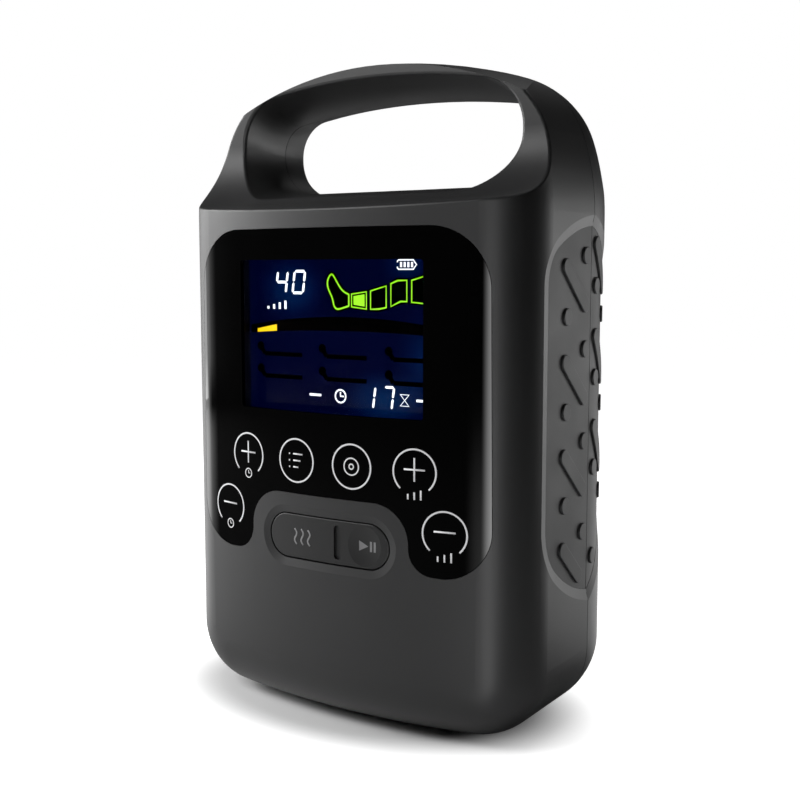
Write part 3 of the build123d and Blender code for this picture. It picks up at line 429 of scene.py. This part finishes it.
def digit(mesh, lit, left, low, width, height, bar):
    """Digit of seven bars: a is the top one, b to f follow clockwise, and g is in the middle."""
    x0, x1 = left + bar / 2, left + width - bar / 2
    z0, z2 = low + bar / 2, low + height - bar / 2
    z1 = (z0 + z2) / 2
    bars = {"a": ((x0, z2), (x1, z2)), "b": ((x1, z2), (x1, z1)), "c": ((x1, z1), (x1, z0)),
            "d": ((x0, z0), (x1, z0)), "e": ((x0, z0), (x0, z1)), "f": ((x0, z1), (x0, z2)),
            "g": ((x0, z1), (x1, z1))}
    first = len(mesh.verts)
    for name in lit:
        a, b = (Vector(end) for end in bars[name])
        way = (b - a).normalized() * DIGIT_GAP
        segment(mesh, a + way, b - way, bar)
    mesh.verts.ensure_lookup_table()
    for vert in mesh.verts[first:]:
        vert.co.x += (vert.co.z - low) * SLANT


def on_display(mesh, lift):
    """Moves a flat shape to just in front of the glass."""
    for vert in mesh.verts:
        vert.co.y += LCD_Y - lift


def lit_finish(name, glow, base, size_mm, strength=1.0):
    """Segment that glows, with its own colour drifting between two values."""
    finish = Finish(name, Emission_Strength=strength)
    finish.drive("Emission Color", finish.tint(finish.noise(size_mm), *glow))
    finish.drive("Base Color", finish.tint(finish.noise(size_mm), *base))
    return finish


white = lit_finish("lit_white", ((0.88, 0.97, 1.0), (1.0, 1.0, 1.0)),
                   ((0.5, 0.5, 0.5), (0.6, 0.6, 0.6)), 4.0, strength=1.15)

digits = bmesh.new()
for shape in DIGITS:
    digit(digits, *shape)
on_display(digits, LIT_LIFT)
bmesh.ops.solidify(digits, geom=digits.faces[:], thickness=SEGMENT_T)
make_piece("display_digits", digits, white, "casing")

signs = bmesh.new()
for dash in DASHES:
    stroke(signs, dash, DASH_W)
clock(signs, DIAL, DIAL_R, DIAL_HANDS, DIAL_W)
for step in range(RISING_BARS):
    x = RISING_X + RISING_PITCH * step
    stroke(signs, [(x, RISING_LOW), (x, RISING_TOP + RISING_STEP * step)], RISING_W)
stroke(signs, HOURGLASS, OUTLINE_W, closed=True)
for line in BATTERY:
    stroke(signs, line, OUTLINE_W)
for step in range(CHARGE_BARS):
    x = CHARGE_X + CHARGE_PITCH * step
    stroke(signs, [(x, CHARGE_LOW), (x, CHARGE_TOP)], CHARGE_W)
on_display(signs, LIT_LIFT)
make_piece("display_signs", signs, white, "casing")


# ---- Leg of the display -------------------------------------------------------------------------
# Lime outline of a foot and a leg in five chambers, one of them filled, on a darker ground. The
# chambers show which cuff takes air.

FOOT = ((-3.6, 165.2), (-5.2, 163.0), (-5.0, 160.0), (-2.6, 156.6), (-2.4, 153.8), (-0.9, 152.4),
        (1.4, 153.0), (4.4, 153.9), (4.4, 153.9), (4.4, 158.0), (4.4, 158.0), (1.6, 159.0),
        (-0.9, 162.4), (-2.6, 165.2))
CHAMBERS = (
    ((5.6, 153.6), (5.6, 158.1), (12.0, 159.0), (12.0, 152.9)),
    ((13.8, 152.9), (13.8, 159.3), (20.4, 161.1), (20.4, 153.6), (17.4, 153.0)),
    ((22.4, 154.0), (22.4, 161.9), (25.2, 163.0), (29.0, 163.1), (29.0, 155.8), (26.4, 155.8)),
    ((31.0, 163.1), (38.6, 165.2), (38.6, 155.0), (31.0, 155.6)),
)
FILLED = ((6.5, 154.4), (6.5, 157.4), (11.2, 158.1), (11.2, 153.8))
LEG_W, LEG_LIFT, FILLED_LIFT = 0.62, 0.14, 0.16
GROUND_W, GROUND_LIFT, GROUND_FLATNESS = 2.2, 0.03, 0.02
LIME_BASE = ((0.1, 0.3, 0.0), (0.12, 0.35, 0.0))


def field(mesh, outline):
    """Flat face inside an outline."""
    mesh.faces.new([mesh.verts.new((x, 0, z)) for x, z in outline])


leg = bmesh.new()
for outline in (FOOT, *CHAMBERS):
    stroke(leg, outline, LEG_W, closed=True, smooth=outline is FOOT)
on_display(leg, LEG_LIFT)
lime = lit_finish("lit_lime", ((0.20, 0.62, 0.0), (0.32, 0.78, 0.0)), LIME_BASE, 5.0)
make_piece("display_leg", leg, lime, "casing")

filled = bmesh.new()
field(filled, FILLED)
on_display(filled, FILLED_LIFT)
bmesh.ops.solidify(filled, geom=filled.faces[:], thickness=SEGMENT_T)
bright = lit_finish("lit_bright_lime", ((0.30, 0.95, 0.0), (0.36, 1.0, 0.01)), LIME_BASE, 5.0)
make_piece("display_chamber", filled, bright, "casing")

ground = bmesh.new()
for outline in (FOOT, *CHAMBERS):
    stroke(ground, outline, GROUND_W, closed=True, smooth=outline is FOOT, flatness=GROUND_FLATNESS)
    field(ground, outline)
on_display(ground, GROUND_LIFT)
dark_green = Finish("unlit_green", Specular_IOR_Level=0.0)
dark_green.wear(((0.0, 0.0012, 0.0004), (0.0, 0.002, 0.0006)), rough=(0.8, 0.9), size_mm=8.0)
make_piece("display_leg_ground", ground, dark_green, "casing")


# ---- Scale and unlit signs of the display -------------------------------------------------------
# Nearly black segments that are off: the shallow arched band of the pressure scale, and six signs
# that each have a round head, a short slanted bend and a long bar. A lit amber pointer stands on
# the scale.

BAND_HALF, BAND_STEPS = 41.0, 24
TOP_ARC, LOW_ARC = (146.2, 149.9, 147.2), (143.2, 144.8, 143.9)
HEAD_XS, HEAD_ZS, HEAD_R, HEAD_STEPS = (-36.4, -7.6, 21.4), (138.3, 130.0), 1.7, 24
BEND_X, BEND_DROP, BEND_W = 1.9, 2.8, 1.9
BAR_X, BAR_W = 19.6, 1.7
UNLIT_LIFT, UNLIT_FLATNESS = 0.05, 0.02
POINTER = ((-37.8, 144.8), (-28.6, 146.6), (-28.6, 144.2), (-37.8, 143.5))


def arched(x, heights):
    """Height of a shallow arc that is given by its heights at the left, middle and right."""
    t = x / BAND_HALF
    left, middle, right = heights
    return middle + (right - left) / 2 * t + ((left + right) / 2 - middle) * t * t


unlit = bmesh.new()
band_xs = [-BAND_HALF + 2 * BAND_HALF * step / BAND_STEPS for step in range(BAND_STEPS + 1)]
field(unlit, [(x, arched(x, TOP_ARC)) for x in band_xs]
      + [(x, arched(x, LOW_ARC)) for x in reversed(band_xs)])
for head_z in HEAD_ZS:
    bar_z = head_z - BEND_DROP
    for head_x in HEAD_XS:
        bar_x, bar_end = head_x + BEND_X, min(head_x + BAR_X, BAND_HALF)
        field(unlit, full_circle((head_x, head_z), HEAD_R, HEAD_STEPS))
        stroke(unlit, [(head_x, head_z), (bar_x, bar_z)], BEND_W, flatness=UNLIT_FLATNESS)
        stroke(unlit, [(bar_x, bar_z), (bar_end, bar_z)], BAR_W, flatness=UNLIT_FLATNESS)
on_display(unlit, UNLIT_LIFT)
off_black = Finish("unlit_segments", Specular_IOR_Level=0.0)
off_black.wear(((0.0004, 0.0003, 0.0004), (0.0010, 0.0006, 0.0006)), rough=(0.8, 0.9), size_mm=12.0)
make_piece("display_unlit", unlit, off_black, "casing")

pointer = bmesh.new()
field(pointer, POINTER)
on_display(pointer, LIT_LIFT)
bmesh.ops.solidify(pointer, geom=pointer.faces[:], thickness=SEGMENT_T)
amber = lit_finish("lit_amber", ((1.0, 0.62, 0.0), (1.0, 0.70, 0.0)),
                   ((0.3, 0.2, 0.0), (0.35, 0.24, 0.0)), 4.0)
make_piece("display_pointer", pointer, amber, "casing")


# ---- Rocker button ------------------------------------------------------------------------------
# Satin dark grey cap moulded in ABS, on a hidden pin, with a groove between its two halves: warmth
# at the left, play and pause in a shallow dish at the right. The signs are printed in grey.

PILL_Z, CAP_SINK = 69.8, 0.8
WAVES, WAVE_X, WAVE_PITCH, WAVE_STEPS, WAVE_W = 3, -13.9, 3.1, 8, 0.7
WAVE_SWING, WAVE_LEAN, WAVE_TOP, WAVE_HEIGHT = 0.85, 0.12, 2.9, 5.8
DISH_X, DISH_R, DISH_FLOOR_Y = 19.6, 40.0, -46.35
PLAY_X, PLAY_TIP_X, PAUSE_XS, PAUSE_W = 14.5, 18.2, (18.9, 20.5), 0.9
PLAY_HALF, PLAY_T = 1.85, 0.02

cap = Finish("rocker_plastic", Specular_IOR_Level=0.45)
cap_grain = cap.noise(0.4, detail=3.0)
cap.drive("Base Color", cap.tint(cap_grain, grey(0.014), grey(0.018)))
cap.drive("Roughness", cap_grain * 0.1 + 0.36)
cap.bump(cap_grain, depth_mm=0.02, strength=0.4)
coat_nodes(cap, "rocker_button")

grey_ink = Finish("grey_ink")
grey_density = grey_ink.noise(1.2)
grey_ink.drive("Base Color", grey_ink.tint(grey_density, grey(0.24), grey(0.30)))
grey_ink.drive("Roughness", grey_density * 0.1 + 0.4)


def dish_y(x, z):
    """Depth of the dish's surface, in millimetres."""
    return DISH_FLOOR_Y - DISH_R + math.sqrt(DISH_R ** 2 - (x - DISH_X) ** 2 - (z - PILL_Z) ** 2)


warmth = bmesh.new()
for wave in range(WAVES):
    points = []
    for step in range(WAVE_STEPS + 1):
        swing = WAVE_SWING * math.sin(2 * math.pi * step / WAVE_STEPS)
        points.append((WAVE_X + WAVE_PITCH * wave + swing + WAVE_LEAN * step,
                       PILL_Z + WAVE_TOP - WAVE_HEIGHT * step / WAVE_STEPS))
    stroke(warmth, points, WAVE_W, smooth=True)
for vert in warmth.verts:
    vert.co.y += panel_y(vert.co.x) + CAP_SINK - INK_LIFT
make_piece("warmth_marks", warmth, grey_ink, "rocker")

play = bmesh.new()
low, high = PILL_Z - PLAY_HALF, PILL_Z + PLAY_HALF
field(play, ((PLAY_X, low), (PLAY_X, high), (PLAY_TIP_X, PILL_Z)))
for x in PAUSE_XS:
    field(play, ((x, low), (x, high), (x + PAUSE_W, high), (x + PAUSE_W, low)))
bmesh.ops.subdivide_edges(play, edges=play.edges[:], cuts=3, use_grid_fill=True)
for vert in play.verts:
    vert.co.y += dish_y(vert.co.x, vert.co.z) - INK_LIFT
bmesh.ops.solidify(play, geom=play.faces[:], thickness=PLAY_T)
make_piece("play_marks", play, grey_ink, "rocker")


# ---- Back, underside and fasteners --------------------------------------------------------------
# Hose block and power inlet moulded in dark plastic, a bare satin label, rubber feet pressed into
# the base, and bright steel screws.

fittings = Finish("dark_plastic", Specular_IOR_Level=0.45)
fittings.wear((grey(0.010), grey(0.016)), rough=(0.3, 0.42), size_mm=5.0)
fittings.bump(fittings.noise(0.4), depth_mm=0.02, strength=0.3)
coat_nodes(fittings, "hose_port", "dc_inlet", "rocker_cradle", "battery_tray", "battery_cover",
           "board_connectors", "buzzer", "intake_filter", "pump_valve_plate")

label = Finish("label_film", Metallic=0.5)
label.wear((grey(0.34), grey(0.40)), rough=(0.34, 0.44), size_mm=9.0)
coat_nodes(label, "rating_label")

foot_rubber = Finish("foot_rubber", Specular_IOR_Level=0.3)
foot_rubber.wear((grey(0.012), grey(0.020)), rough=(0.6, 0.75), size_mm=3.0)
foot_rubber.bump(foot_rubber.noise(0.5), depth_mm=0.05, strength=0.5)
coat_nodes(foot_rubber, "rubber_feet", "pump_mounts", "pump_diaphragm", "pump_gasket")

steel = Finish("bright_steel", Metallic=1.0)
steel.wear((grey(0.50), grey(0.62)), rough=(0.22, 0.36), size_mm=2.0)
coat_nodes(steel, "case_screws", "small_screws", "rocker_pin", "switch_domes", "pump_deck",
           "motor_can", "motor_rotor", "motor_bearings", "valve_plunger_1", "valve_plunger_2",
           "valve_plunger_3", "valve_plunger_4")


# ---- Inside -------------------------------------------------------------------------------------
# Boards screwed to posts, three cells in a tray, and over them the motor and the pump on a deck that
# stands on rubber mounts, with the valves at the ports. Each is of its own plastic, metal, film or
# resin, and none is seen while the housing is closed.

board = Finish("solder_mask", Specular_IOR_Level=0.5)
board.wear(((0.012, 0.10, 0.035), (0.02, 0.15, 0.05)), rough=(0.25, 0.35), size_mm=2.0)
coat_nodes(board, "display_board", "main_board", "touch_board", "switch_boards")

epoxy = Finish("chip_epoxy")
epoxy.wear((grey(0.015), grey(0.02)), rough=(0.45, 0.6), size_mm=1.0)
coat_nodes(epoxy, "board_chips")

alloy = Finish("capacitor_alloy", Metallic=1.0)
alloy.wear((grey(0.55), grey(0.65)), rough=(0.25, 0.35), size_mm=1.5)
coat_nodes(alloy, "board_capacitors")

copper = Finish("contact_copper", Metallic=1.0)
copper.wear(((0.80, 0.42, 0.25), (0.90, 0.52, 0.30)), rough=(0.2, 0.35), size_mm=1.5)
coat_nodes(copper, "touch_springs", "dc_contact")

film = Finish("ribbon_film")
film.wear(((0.55, 0.28, 0.05), (0.65, 0.34, 0.07)), rough=(0.3, 0.4), size_mm=3.0)
coat_nodes(film, "display_ribbon")

diffuser = Finish("backlight_plastic")
diffuser.wear((grey(0.70), grey(0.80)), rough=(0.4, 0.5), size_mm=5.0)
coat_nodes(diffuser, "backlight")

wrap = Finish("cell_wrap")
wrap.wear(((0.02, 0.10, 0.35), (0.03, 0.14, 0.45)), rough=(0.3, 0.4), size_mm=6.0)
coat_nodes(wrap, "battery_cells")

magnet = Finish("magnet_ferrite")
magnet.wear((grey(0.03), grey(0.05)), rough=(0.5, 0.65), size_mm=1.5)
coat_nodes(magnet, "motor_magnets")

pump_plastic = Finish("pump_plastic")
pump_plastic.wear((grey(0.20), grey(0.26)), rough=(0.35, 0.45), size_mm=5.0)
coat_nodes(pump_plastic, "motor_cap", "pump_body", "pump_head", "pump_rod", "valve_manifold")

resin = Finish("coil_resin")
resin.wear(((0.02, 0.02, 0.10), (0.03, 0.03, 0.14)), rough=(0.25, 0.35), size_mm=2.0)
coat_nodes(resin, "valve_coil_1", "valve_coil_2", "valve_coil_3", "valve_coil_4")

silicone = Finish("silicone_tube")
silicone.wear((grey(0.60), grey(0.70)), rough=(0.3, 0.4), size_mm=4.0)
coat_nodes(silicone, "pressure_tube")


# ---- Floor --------------------------------------------------------------------------------------
# White paper that runs out of sight and keeps the pump's soft shadow. Only near the pump is it pale
# enough to throw light back at it. The pump's gloss sees it bright beside the pump, dark elsewhere.

FLOOR_HALF = 8.0
PALE_TO, PALE_SOFT = 0.90, 0.50
# Middle and half size of the ring round the pump's foot, and where on it the shadow ends and the
# glare begins, as multiples of the ring.
FOOT_X, FOOT_Y, FOOT_HALF_X, FOOT_HALF_Y = -0.010, -0.006, 0.072, 0.048
SHADOW_TO, SHADOW_SOFT = 1.12, 0.28
GLARE_FROM, GLARE_SOFT = 1.9, 0.7
# Zones of glare: a start and an end in degrees away from the front, each with a soft step in
# radians. They are seen from the edges of the panel, EDGE_X from the middle.
EDGE_X, EDGE_Y = 0.060, -0.037
LEFT_NEAR, LEFT_FAR, RIGHT = (76, 0.12, 122, 0.20), (68, 0.16, 80.3, 0.02), (16, 0.20, 30, 0.08)
FAR_FROM, FAR_SOFT = 1.5, 0.5
REAR_FROM, REAR_SOFT = math.radians(128), 0.3
LEFT_GLARE, RIGHT_GLARE, REAR_GLARE = 1.6, 6.0, 1.3


def between(turn, zone):
    """1 inside a zone of turns."""
    start, start_soft, end, end_soft = zone
    return turn.above(math.radians(start), start_soft) - turn.above(math.radians(end), end_soft)


def side_glare(x_left, x_right, y, left_zone):
    """Light beside the pump; x is counted from the left and from the right edge of the panel."""
    left = (x_left * -1).math("ARCTAN2", y * -1)
    right = x_right.math("ARCTAN2", y * -1)
    return between(left, left_zone) * LEFT_GLARE + between(right, RIGHT) * RIGHT_GLARE


paper = Finish("floor_paper", Roughness=0.9, Specular_IOR_Level=0.0, Emission_Strength=1.0)
camera_ray = paper.node("ShaderNodeLightPath", {}, out="Is Camera Ray")
glossy_ray = paper.node("ShaderNodeLightPath", {}, out="Is Glossy Ray")
floor_x, floor_y = paper.along("X"), paper.along("Y")
away = paper.node("ShaderNodeVectorMath", {"operation": "LENGTH"}, paper.place, out="Value")
paper.drive("Base Color", paper.tint(away.above(PALE_TO, PALE_SOFT), (0.90, 0.90, 0.90),
                                     (0.10, 0.10, 0.10)))

foot_x, foot_y = floor_x - FOOT_X, floor_y - FOOT_Y
ring = ((foot_x * (1 / FOOT_HALF_X)) ** 2 + (foot_y * (1 / FOOT_HALF_Y)) ** 2) ** 0.5
turn = foot_x.math("ARCTAN2", foot_y * -1)
near, far = (side_glare(floor_x + EDGE_X, floor_x - EDGE_X, floor_y - EDGE_Y, zone)
             for zone in (LEFT_NEAR, LEFT_FAR))
beside = near + (far - near) * away.above(FAR_FROM, FAR_SOFT)
beside = beside + turn.above(REAR_FROM, REAR_SOFT) * REAR_GLARE
mirrored = glossy_ray * beside * ring.above(GLARE_FROM, GLARE_SOFT)
glare = ring.above(SHADOW_TO, SHADOW_SOFT) * camera_ray + mirrored
paper.drive("Emission Color", paper.node("ShaderNodeCombineXYZ", {}, glare, glare, glare,
                                         out="Vector"))

floor_mesh = bmesh.new()
bmesh.ops.create_grid(floor_mesh, x_segments=1, y_segments=1, size=FLOOR_HALF)
floor_data = bpy.data.meshes.new("floor")
floor_mesh.to_mesh(floor_data)
floor_mesh.free()
floor_data.materials.append(paper.material)
floor = bpy.data.objects.new("floor", floor_data)
bpy.context.scene.collection.objects.link(floor)


# ---- Soft boxes and air -------------------------------------------------------------------------
# Two low soft boxes at the left and a higher one in front give the long fall-off over the housing,
# and two weak ones behind it light its rear edges. The air is white to the eye; in the gloss it
# carries on the floor's bright zones to just above the horizon, and is dark elsewhere.

AIM = Vector((0.0, 0.0, 0.12))
GLARE_TOP, GLARE_TOP_SOFT = 0.16, 0.06


def soft_box(name, turn, up, distance, width, tall, brightness):
    """Soft box that faces the pump; turn runs from the pump's front to its right, in degrees."""
    lamp = bpy.data.lights.new(name, "AREA")
    lamp.shape = "RECTANGLE"
    lamp.size, lamp.size_y = width, tall
    lamp.energy = brightness * math.pi ** 2 * width * tall
    holder = bpy.data.objects.new(name, lamp)
    bpy.context.scene.collection.objects.link(holder)
    angle, rise = math.radians(turn), math.radians(up)
    way = Vector((math.sin(angle) * math.cos(rise), -math.cos(angle) * math.cos(rise),
                  math.sin(rise)))
    holder.location = AIM + distance * way
    holder.rotation_euler = (-way).to_track_quat("-Z", "Y").to_euler()


soft_box("left", turn=-70, up=17, distance=1.0, width=0.35, tall=0.40, brightness=4.6)
soft_box("behind_left", turn=-93, up=8, distance=1.0, width=0.48, tall=0.50, brightness=0.9)
soft_box("front_left", turn=-32, up=38, distance=0.55, width=0.25, tall=0.22, brightness=2.3)
soft_box("top_rear", turn=170, up=62, distance=1.0, width=0.45, tall=0.40, brightness=0.8)
soft_box("right_rear", turn=150, up=2, distance=0.9, width=0.35, tall=0.20, brightness=1.2)


class Air(Finish):
    """The world around the pump, built with the same nodes. Its place is a direction."""

    def __init__(self, name):
        world = bpy.data.worlds.new(name)
        bpy.context.scene.world = world
        world.use_nodes = True
        self.tree = world.node_tree
        self.shader = self.tree.nodes["Background"]
        self.shader.inputs["Color"].default_value = (1, 1, 1, 1)
        self.place = self.node("ShaderNodeTexCoord", {}, out="Generated")


air = Air("studio")
air_x, air_y, air_z = (air.along(axis) for axis in "XYZ")
low_down = 1 - air_z.above(GLARE_TOP, GLARE_TOP_SOFT)
air_glare = side_glare(air_x, air_x, air_y, LEFT_FAR) * low_down
air_mirrored = air.node("ShaderNodeLightPath", {}, out="Is Glossy Ray") * air_glare
air.drive("Strength", air.node("ShaderNodeLightPath", {}, out="Is Camera Ray") + air_mirrored)
